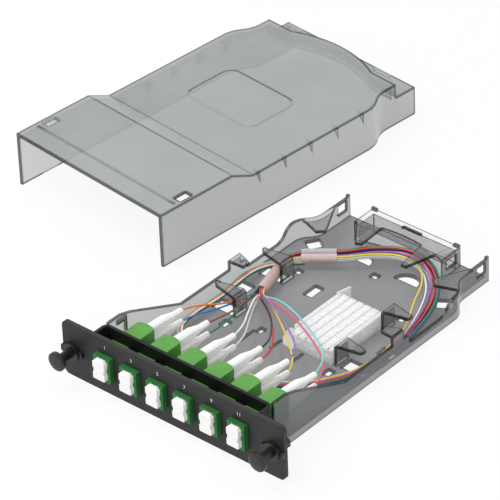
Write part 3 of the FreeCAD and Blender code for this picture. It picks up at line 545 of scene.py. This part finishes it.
def plastic(
    name, colour, spread, rough, size, soft_edge, strength=0.3, gloss=0.5, front=None, glow=0.0
):
    """An opaque plastic or coat: slightly uneven colour, and a skin with a grain of some size.
    front is another colour, painted at the front as painted shade on the adapters and painted light on
    the fastener heads, the depth up to which it is full, and the depth where it has ended. glow is the
    strength of a painted white glow.
    """
    material, tree = new_material(name)
    body = shaded(tree, tone(colour, -spread), tone(colour, spread), 3 * MM)
    # Painted light and shade: a second colour laid over the front by depth.
    if front is not None:
        painted_front_tone, start, end = front
        body = add(
            tree,
            "ShaderNodeMix",
            {
                "Factor": depth_share(tree, start, end),
                "A": shaded(tree, tone(painted_front_tone, -8), tone(painted_front_tone, 8), 0.7 * MM),
                "B": body,
            },
            data_type="RGBA",
        ).outputs["Result"]
    shader = add(
        tree,
        "ShaderNodeBsdfPrincipled",
        {
            "Base Color": body,
            "Roughness": mottled(tree, *rough, 2 * MM),
            "Normal": grain(tree, size, strength, soft_edge),
            "IOR": 1.5,
            "Specular IOR Level": gloss,
            "Emission Color": (1, 1, 1, 1),
            "Emission Strength": glow,
        },
    )
    finish_material(tree, shader)
    return material


def charcoal_powder_coat(colour, soft_edge):
    """Powder coat, sprayed and baked: its fine orange peel spreads each highlight into a soft sheen."""
    return plastic("charcoal_powder_coat", colour, 3, (0.5, 0.6), 0.35 * MM, soft_edge, 0.35, 0.4)


def black_abs(soft_edge):
    """ABS, moulded with a matt skin: the channel stays black even where a lamp looks into it."""
    return plastic("black_abs_frame", "#0C0C0D", 2, (0.55, 0.65), 0.4 * MM, soft_edge, 0.3, 0.3)


def black_nylon(soft_edge):
    """Nylon, moulded smooth: soft highlights run along the pins, and the heads' faces are painted
    paler, as painted light from the front.
    """
    return plastic(
        "black_nylon_fasteners", "#131314", 4, (0.3, 0.4), 0.5 * MM, soft_edge, 0.5,
        # Painted light: a paler grey on the heads' front faces, where light from the front finds them.
        front=("#4A4A4C", -13.6, -13.2),
    )


def white_screen_ink():
    """Screen-printed ink: a thin flat film, a little greyer than the caps below it."""
    return plastic("white_screen_ink", "#D9D9D9", 2, (0.5, 0.6), 0.5 * MM, 0.0)


def green_pbt(colour, soft_edge):
    """PBT, moulded satin: an even bright green, deepened round the ports in front by painted shade."""
    return plastic(
        "green_pbt_adapters", colour, 5, (0.36, 0.48), 0.4 * MM, soft_edge,
        # Painted shade: a deeper green at the ports' front, where the panel shades the flanges.
        front=("#216B2B", -0.5, 6.0),
    )


def white_polypropylene(colour, soft_edge):
    """Polypropylene, moulded smooth: waxy white caps with broad, soft highlights."""
    return plastic("white_polypropylene", colour, 3, (0.35, 0.45), 0.5 * MM, soft_edge, 0.2)


def white_pvc(colour, soft_edge):
    """Soft PVC, moulded: nearly matt boots, kept pale even in their shade by a faint painted glow."""
    return plastic(
        # Painted light: a faint white glow keeps the boots pale in their shade.
        "white_pvc_boots", colour, 2, (0.4, 0.5), 0.5 * MM, soft_edge, 0.2, glow=0.06
    )


def pvc_jacket(colour):
    """PVC, drawn over the fibre: a strong colour with one thin highlight along it."""
    return plastic(f"{colour}_pvc_jacket", JACKETS[colour], 4, (0.3, 0.4), 1 * MM, 0.0, 0.1)


def painted_pit_shade():
    """Polypropylene inside a small moulded pit, painted a dull grey as painted shade, because little
    light comes back.
    """
    return plastic("painted_pit_shade_grey", "#6E7074", 4, (0.5, 0.6), 0.5 * MM, 0.0)


def clear_pvc(name, colour, alpha):
    """PVC film, drawn as a tube: the fibres show through it, and it looks milky at its sides."""
    material, tree = new_material(name)
    slant = add(tree, "ShaderNodeLayerWeight", {"Blend": 0.4}).outputs["Facing"]
    film = add(tree, "ShaderNodeMapRange", {"Value": slant, "To Min": alpha, "To Max": 0.9})
    shader = add(
        tree,
        "ShaderNodeBsdfPrincipled",
        {
            "Base Color": shaded(tree, tone(colour, -6), tone(colour, 6), 4 * MM),
            "Roughness": mottled(tree, 0.15, 0.25, 2 * MM),
            "Alpha": film.outputs["Result"],
        },
    )
    finish_material(tree, shader)
    return material


def frosted_polypropylene():
    """Polypropylene with an etched skin: milky, as light spreads a few millimetres inside it, and a
    faint painted glow lifts it further.
    """
    material, tree = new_material("frosted_polypropylene")
    shader = add(
        tree,
        "ShaderNodeBsdfPrincipled",
        {
            "Base Color": shaded(tree, "#DADCE0", "#FFFFFF", 1.6 * MM, 4.0),
            "Roughness": mottled(tree, 0.35, 0.55, 2 * MM),
            "Alpha": 0.95,
            # Painted light: a faint white glow brightens the holder's troughs and sides.
            "Emission Color": (1, 1, 1, 1),
            "Emission Strength": 0.07,
            "Subsurface Weight": 0.9,
            "Subsurface Radius": (5 * MM, 5 * MM, 5 * MM),
            "Subsurface Scale": 1.0,
            "Normal": grain(tree, 0.8 * MM, 0.5, 0.2 * MM),
        },
    )
    finish_material(tree, shader)
    return material


def seen(tree):
    """1 for what the camera sees, directly, in gloss or through glass."""
    path = add(tree, "ShaderNodeLightPath").outputs
    both = add(
        tree,
        "ShaderNodeMath",
        {0: path["Is Camera Ray"], 1: path["Is Glossy Ray"]},
        operation="ADD",
    )
    every = add(
        tree,
        "ShaderNodeMath",
        {0: both.outputs[0], 1: path["Is Transmission Ray"]},
        operation="ADD",
        use_clamp=True,
    )
    return every.outputs[0]


def white_paper():
    """Matt paper, bent up as a sweep: pure white to the eye, with only a breath of shadow."""
    material, tree = new_material("white_paper_sweep")
    paper = add(tree, "ShaderNodeBsdfDiffuse", {"Color": (0.9, 0.9, 0.9, 1)})
    glow = add(tree, "ShaderNodeEmission", {"Color": (1, 1, 1, 1), "Strength": 1.0})
    share = add(tree, "ShaderNodeMath", {0: seen(tree), 1: 0.9}, operation="MULTIPLY")
    both = add(
        tree,
        "ShaderNodeMixShader",
        {0: share.outputs[0], 1: paper.outputs[0], 2: glow.outputs[0]},
    )
    finish_material(tree, both)
    return material


def dress(material, *names):
    """Gives CAD nodes a material in the slots that they have."""
    for name in names:
        for slot in nodes[name].material_slots:
            slot.material = material


def as_piece(name, data, body):
    """A new object at the origin that rides on a body."""
    piece = bpy.data.objects.new(name, data)
    bpy.context.scene.collection.objects.link(piece)
    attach(piece, body)
    return piece


def merged(node, bend):
    """A merged copy of a CAD node, shaded smooth over edges that bend less than that angle."""
    shape = bmesh.new()
    shape.from_mesh(nodes[node].data)
    bmesh.ops.remove_doubles(shape, verts=shape.verts, dist=MERGE_DISTANCE)
    for edge in shape.edges:
        edge.smooth = len(edge.link_faces) == 2 and edge.calc_face_angle(math.pi) < bend
    for face in shape.faces:
        face.smooth = True
    return shape


def as_mesh(shape, name):
    """The mesh of a shape that is then done with."""
    mesh = bpy.data.meshes.new(name)
    shape.to_mesh(mesh)
    shape.free()
    return mesh


def across_sheet(face, solid, thin):
    """Whether a face is the narrow edge of a sheet: under it the moulding is thin to both sides."""
    start = face.calc_center_median() - face.normal * UNDER_SKIN
    side = face.normal.orthogonal().normalized()
    for step in range(EDGE_DIRECTIONS):
        way = Matrix.Rotation(math.pi * step / EDGE_DIRECTIONS, 3, face.normal) @ side
        reach = 0.0
        for ray in (way, -way):
            distance = solid.ray_cast(start, ray, thin)[3]
            reach += thin if distance is None else distance
        if reach < thin:
            return True
    return False


def kind_of(face, middle):
    """Which kind of face this is, in the words of the veils."""
    where = face.calc_center_median()
    if abs(face.normal.z) > LEVEL_FACE:
        if where.z < place(0, 0, FLOOR_LIMIT).z:
            return "floor"
        return "rear box" if where.y > place(0, REAR_BOX_START, 0).y else "raised"
    return "outside" if (where - middle).dot(face.normal) > 0 else "inside"


def moulding(node, name, thin):
    """A smooth copy of the tray or cover, with its narrow edges and its veils marked."""
    low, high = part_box(node)
    shape = merged(node, MOULDING_BEND)
    rim = shape.faces.layers.float.new("rim")
    veil = shape.faces.layers.float.new("veil")
    solid = BVHTree.FromBMesh(shape)
    for face in shape.faces:
        face[rim] = float(across_sheet(face, solid, thin))
        face[veil] = VEILS[node][kind_of(face, (low + high) / 2)]
    return as_mesh(shape, name)


def lane_points(way, lane, lanes):
    """Points of one fibre's lane beside the middle line of a way."""
    column, row = lane
    columns, rows = lanes
    points = []
    for index, (x, y, z, spread, gap) in enumerate(way):
        before = way[max(index - 1, 0)]
        after = way[min(index + 1, len(way) - 1)]
        along = Vector((after[0] - before[0], after[1] - before[1])).normalized()
        across = column - (columns - 1) / 2
        shift = across * LANE_PITCH * spread
        if across:
            shift += math.copysign(gap / 2, across)
        lift = ((rows - 1) / 2 - row) * LANE_PITCH
        points.append((x + along.y * shift, y - along.x * shift, z + lift))
    return points


def port_x(port):
    """How far a port's middle is from the panel's, for ports counted from 0."""
    return (port - (PORTS - 1) / 2) * PORT_STEP


def fibre_route(name):
    """The way of one fibre, from its boot through its lane in the bundle to its hidden end."""
    _, lane, lead, back = FIBRES[name]
    number, level = name.split("_")[1:]
    bundle = lane_points(BUNDLE_WAY, lane, BUNDLE_LANES)
    for index, shift in STRAY.get(name, {}).items():
        bundle[index] = tuple(a + b for a, b in zip(bundle[index], shift))
    route = [(port_x(int(number) - 1) + BOOT_LEAN, BOOT_END, ROW_HEIGHT[level])] + lead + bundle
    if back is not None:
        route += lane_points(RETURN_WAY, back, RETURN_LANES)
    return [place(*point) for point in route]


def smooth_cord(name, route, radius):
    """Round cord on one smooth line that is drawn by the route's points."""
    curve = bpy.data.curves.new(name, "CURVE")
    curve.dimensions = "3D"
    curve.resolution_u = 8
    curve.bevel_depth = radius
    curve.bevel_resolution = 3
    curve.use_fill_caps = True
    spline = curve.splines.new("NURBS")
    spline.points.add(len(route) - 1)
    for point, where in zip(spline.points, route):
        point.co = (*where, 1)
    spline.order_u = 3
    spline.use_endpoint_u = True
    return curve


def pip_tree(material):
    """Node tree that stands short pips in a row."""
    tree = bpy.data.node_groups.new("Row of Pips", "GeometryNodeTree")
    tree.interface.new_socket("Geometry", in_out="OUTPUT", socket_type="NodeSocketGeometry")
    for label, kind in (
        ("Count", "NodeSocketInt"),
        ("Start", "NodeSocketVector"),
        ("Step", "NodeSocketVector"),
        ("Radius", "NodeSocketFloat"),
        ("Depth", "NodeSocketFloat"),
    ):
        tree.interface.new_socket(label, in_out="INPUT", socket_type=kind)
    given = add(tree, "NodeGroupInput").outputs
    line = add(
        tree,
        "GeometryNodeMeshLine",
        {"Count": given["Count"], "Start Location": given["Start"], "Offset": given["Step"]},
        mode="OFFSET",
    )
    pip = add(
        tree,
        "GeometryNodeMeshCone",
        {
            "Vertices": PIP_SIDES,
            "Radius Top": given["Radius"],
            "Radius Bottom": given["Radius"],
            "Depth": given["Depth"],
        },
    )
    copies = add(
        tree, "GeometryNodeInstanceOnPoints", {"Points": line.outputs[0], "Instance": pip.outputs[0]}
    )
    real = add(tree, "GeometryNodeRealizeInstances", {"Geometry": copies.outputs[0]})
    painted = add(
        tree, "GeometryNodeSetMaterial", {"Geometry": real.outputs[0], "Material": material}
    )
    add(tree, "NodeGroupOutput", {"Geometry": painted.outputs[0]})
    return tree


def grown(name, tree, values):
    """The plain mesh that a node tree makes with these values."""
    seed = bpy.data.objects.new(name + "_seed", bpy.data.meshes.new(name + "_seed"))
    bpy.context.scene.collection.objects.link(seed)
    modifier = seed.modifiers.new("Grown", "NODES")
    modifier.node_group = tree
    for item in tree.interface.items_tree:
        if item.item_type == "SOCKET" and item.in_out == "INPUT" and item.name in values:
            modifier[item.identifier] = values[item.name]
    seed.update_tag()
    graph = bpy.context.evaluated_depsgraph_get()
    mesh = bpy.data.meshes.new_from_object(seed.evaluated_get(graph))
    mesh.name = name
    bpy.data.objects.remove(seed)
    return mesh


class CASSETTE_OT_stage(bpy.types.Operator):
    """Sets the camera, lamps, sky and floor"""

    bl_idname = "cassette.stage"
    bl_label = "Stage"

    def execute(self, context):
        stage = context.scene.cassette_stage
        self.camera(context.scene)
        self.lamp("key_lamp", *KEY_LAMP, stage.key_light, stage.target)
        self.lamp("fill_lamp", *FILL_LAMP, stage.fill_light, stage.target)
        self.sky(context.scene, stage.sky)
        self.floor()
        context.scene.view_settings.view_transform = "Standard"
        context.scene.cycles.transparent_max_bounces = 32
        return {"FINISHED"}

    def camera(self, scene):
        azimuth, elevation, roll = (
            math.radians(angle) for angle in (CAMERA_AZIMUTH, CAMERA_ELEVATION, CAMERA_ROLL)
        )
        back = Vector(
            (
                math.sin(azimuth) * math.cos(elevation),
                -math.cos(azimuth) * math.cos(elevation),
                math.sin(elevation),
            )
        )
        right = (-back).cross(Vector((0, 0, 1))).normalized()
        up = right.cross(-back)
        across = right * math.cos(roll) + up * math.sin(roll)
        upward = up * math.cos(roll) - right * math.sin(roll)
        data = bpy.data.cameras.new("camera")
        data.sensor_width = CAMERA_SENSOR
        data.lens = CAMERA_LENS
        data.clip_start = 0.1
        data.clip_end = 30
        camera = bpy.data.objects.new("camera", data)
        turned = Matrix((across, upward, back)).transposed().to_4x4()
        camera.matrix_world = Matrix.Translation(CAMERA_PLACE) @ turned
        scene.collection.objects.link(camera)
        scene.camera = camera

    def lamp(self, name, where, size, power, target):
        data = bpy.data.lights.new(name, "AREA")
        data.shape = "DISK"
        data.size = size
        data.energy = power
        lamp = bpy.data.objects.new(name, data)
        lamp.location = where
        aim = Vector(where) - Vector(target)
        lamp.rotation_mode = "QUATERNION"
        lamp.rotation_quaternion = aim.to_track_quat("Z", "Y")
        bpy.context.scene.collection.objects.link(lamp)

    def sky(self, scene, strength):
        scene.world = bpy.data.worlds.new("studio")
        scene.world.use_nodes = True
        tree = scene.world.node_tree
        tree.nodes.clear()
        level = add(
            tree, "ShaderNodeMapRange", {"Value": seen(tree), "To Min": strength, "To Max": 1.0}
        )
        sky = add(
            tree, "ShaderNodeBackground", {"Color": (1, 1, 1, 1), "Strength": level.outputs["Result"]}
        )
        add(tree, "ShaderNodeOutputWorld", {"Surface": sky.outputs[0]})

    def floor(self):
        low = cad_box[0][2] - FLOOR_GAP
        corners = [
            (x * FLOOR_HALF_WIDTH, y * FLOOR_HALF_WIDTH, low)
            for x, y in ((-1, -1), (1, -1), (1, 1), (-1, 1))
        ]
        mesh = bpy.data.meshes.new("floor")
        mesh.from_pydata(corners, [], [(0, 1, 2, 3)])
        mesh.materials.append(white_paper())
        floor = bpy.data.objects.new("floor", mesh)
        bpy.context.scene.collection.objects.link(floor)


class CASSETTE_OT_mouldings(bpy.types.Operator):
    """Makes the smoked tray and cover, with dark edges where light runs along the sheet"""

    bl_idname = "cassette.mouldings"
    bl_label = "Tray and Cover"

    def execute(self, context):
        look = context.scene.cassette_colours
        sizes = context.scene.cassette_sizes
        for node, body, colour, line, places in (
            ("tray", ROOT, look.smoke, sizes.fold_line, ()),
            ("cover", "cover", look.smoke_cover, sizes.cover_line, COVER_LINES),
        ):
            smoked = smoked_polycarbonate(
                "smoked_polycarbonate_" + node, colour, look.smoke_edge, line, places
            )
            mesh = moulding(node, node + "_moulding", sizes.thin_face)
            mesh.materials.append(smoked)
            piece = as_piece(node + "_moulding", mesh, body)
            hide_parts(node)
        return {"FINISHED"}


class CASSETTE_OT_front(bpy.types.Operator):
    """Finishes the panel, the frame behind it and the push fasteners"""

    bl_idname = "cassette.front"
    bl_label = "Panel and Fasteners"

    def execute(self, context):
        soft_edge = context.scene.cassette_sizes.soft_edge
        dress(charcoal_powder_coat(context.scene.cassette_colours.panel, soft_edge), "front_panel")
        dress(black_abs(soft_edge), "bulkhead_frame")
        fasteners = ("grommet_left", "grommet_right", "plunger_left", "plunger_right")
        dress(black_nylon(soft_edge), *fasteners)
        return {"FINISHED"}


class CASSETTE_OT_numerals(bpy.types.Operator):
    """Prints one numeral above each adapter"""

    bl_idname = "cassette.numerals"
    bl_label = "Port Numerals"

    def execute(self, context):
        ink = white_screen_ink()
        height = context.scene.cassette_sizes.numeral_height
        upright = Matrix.Rotation(math.pi / 2, 4, "X")
        for port in range(PORTS):
            text = bpy.data.curves.new("numeral", "FONT")
            text.body = str(2 * port + 1)
            text.size = height / FIGURE_SHARE
            text.align_x = "CENTER"
            text.align_y = "CENTER"
            text.extrude = INK_DEPTH * MM
            flat = bpy.data.objects.new("numeral", text)
            context.scene.collection.objects.link(flat)
            graph = context.evaluated_depsgraph_get()
            mesh = bpy.data.meshes.new_from_object(flat.evaluated_get(graph))
            bpy.data.objects.remove(flat)
            where = place(port_x(port), -INK_DEPTH, NUMERAL_LEVEL)
            mesh.transform(Matrix.Translation(where) @ upright)
            mesh.materials.clear()
            mesh.materials.append(ink)
            mesh.name = f"port_numeral_{port + 1}"
            as_piece(mesh.name, mesh, ROOT)
        return {"FINISHED"}


class CASSETTE_OT_connections(bpy.types.Operator):
    """Finishes the adapters, dust caps and connectors"""

    bl_idname = "cassette.connections"
    bl_label = "Adapters, Caps and Connectors"

    def execute(self, context):
        look = context.scene.cassette_colours
        soft_edge = context.scene.cassette_sizes.soft_edge
        green = green_pbt(look.green, soft_edge)
        white = white_polypropylene(look.white, soft_edge)
        boots = white_pvc(look.white, soft_edge)
        for number in range(1, PORTS + 1):
            dress(green, f"adapter_{number}")
            dress(white, f"dust_cap_{number}")
            dress(boots, f"connector_{number}_upper", f"connector_{number}_lower")
        return {"FINISHED"}


class CASSETTE_OT_fibres(bpy.types.Operator):
    """Lays the twelve fibres"""

    bl_idname = "cassette.fibres"
    bl_label = "Fibres"

    def execute(self, context):
        width = context.scene.cassette_sizes.fibre_width
        for name, (colour, *_) in FIBRES.items():
            curve = smooth_cord(name + "_jacket", fibre_route(name), width / 2)
            curve.materials.append(pvc_jacket(colour))
            piece = as_piece(name + "_jacket", curve, ROOT)
            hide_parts(name)
        return {"FINISHED"}


class CASSETTE_OT_sleeves(bpy.types.Operator):
    """Makes the clear sleeves that hold the fibres, with round skins"""

    bl_idname = "cassette.sleeves"
    bl_label = "Sleeves"

    def execute(self, context):
        for name, (colour, alpha) in SLEEVES.items():
            mesh = as_mesh(merged(name, SLEEVE_BEND), name + "_skin")
            mesh.materials.append(clear_pvc(name + "_clear_pvc", colour, alpha))
            piece = as_piece(name + "_skin", mesh, ROOT)
            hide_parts(name)
        return {"FINISHED"}


class CASSETTE_OT_holder(bpy.types.Operator):
    """Finishes the splice holder and stands the row of pips on its ear"""

    bl_idname = "cassette.holder"
    bl_label = "Splice Holder"

    def execute(self, context):
        sizes = context.scene.cassette_sizes
        dress(frosted_polypropylene(), "splice_holder")
        right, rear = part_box("splice_holder")[1].xy
        start = (
            right - PIP_INSET[0] * MM,
            rear - PIP_INSET[1] * MM,
            place(0, 0, PIP_LEVEL).z,
        )
        values = {
            "Count": sizes.pip_count,
            "Start": start,
            "Step": (PIP_STEP * MM, 0, 0),
            "Radius": sizes.pip_radius,
            "Depth": PIP_DEPTH * MM,
        }
        # The pips are painted shade: flat grey discs where small pits on the holder's ear lie in
        # shadow.
        mesh = grown("holder_pips", pip_tree(painted_pit_shade()), values)
        as_piece("holder_pips", mesh, ROOT)
        return {"FINISHED"}


OPERATORS = (
    CASSETTE_OT_stage,
    CASSETTE_OT_mouldings,
    CASSETTE_OT_front,
    CASSETTE_OT_numerals,
    CASSETTE_OT_connections,
    CASSETTE_OT_fibres,
    CASSETTE_OT_sleeves,
    CASSETTE_OT_holder,
)
GROUPS = {
    "cassette_sizes": CassetteSizes,
    "cassette_colours": CassetteColours,
    "cassette_stage": CassetteStage,
}


class CASSETTE_PT_sidebar(bpy.types.Panel):
    """Lists the cassette's sizes, colours, stage and groups of pieces"""

    bl_idname = "CASSETTE_PT_sidebar"
    bl_label = "Fibre Cassette"
    bl_space_type = "VIEW_3D"
    bl_region_type = "UI"
    bl_category = "Fibre Cassette"

    def draw(self, context):
        for group in GROUPS:
            box = self.layout.box()
            for name in GROUPS[group].__annotations__:
                box.prop(getattr(context.scene, group), name)
        for operator in OPERATORS:
            self.layout.operator(operator.bl_idname)


CLASSES = (*GROUPS.values(), *OPERATORS, CASSETTE_PT_sidebar)


def register():
    for item in CLASSES:
        bpy.utils.register_class(item)
    for name, group in GROUPS.items():
        setattr(bpy.types.Scene, name, PointerProperty(type=group))


def unregister():
    for name in GROUPS:
        delattr(bpy.types.Scene, name)
    for item in reversed(CLASSES):
        bpy.utils.unregister_class(item)


def main():
    register()
    bpy.ops.cassette.stage()
    bpy.ops.cassette.mouldings()
    bpy.ops.cassette.front()
    bpy.ops.cassette.numerals()
    bpy.ops.cassette.connections()
    bpy.ops.cassette.fibres()
    bpy.ops.cassette.sleeves()
    bpy.ops.cassette.holder()


if __name__ == "__main__":
    main()
